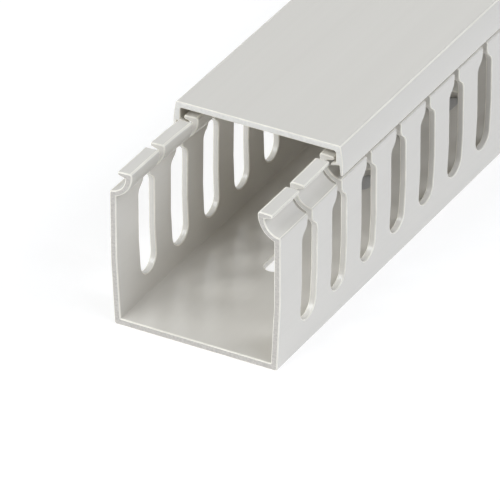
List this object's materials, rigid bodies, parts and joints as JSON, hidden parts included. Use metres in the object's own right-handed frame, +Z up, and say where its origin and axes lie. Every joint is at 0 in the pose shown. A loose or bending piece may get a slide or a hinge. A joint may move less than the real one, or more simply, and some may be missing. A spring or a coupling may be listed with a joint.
{
  "type": "slotted wire duct",
  "caption": "Slotted wire duct: a long grey U-shaped channel with fingered walls and a push-on cover, slid back a little from one cut end.",
  "frame": {"origin": "on the underside of the base, in the middle of its front cut edge", "axes": "+Y along the duct's length away from the front cut end, +X across to the right, +Z up from the base to the cover"},
  "size_m": [0.05, 1.033, 0.05],
  "materials": {
    "pvc": "satin"
  },
  "bodies": {
    "duct": {"duct": "pvc"},
    "cover": {"cover": "pvc"}
  },
  "joints": [
    {"name": "cover_slide", "type": "slide", "parent": "duct", "child": "cover", "axis": [0, 1, 0], "range_m": [-0.033, 0.9]}
  ]
}
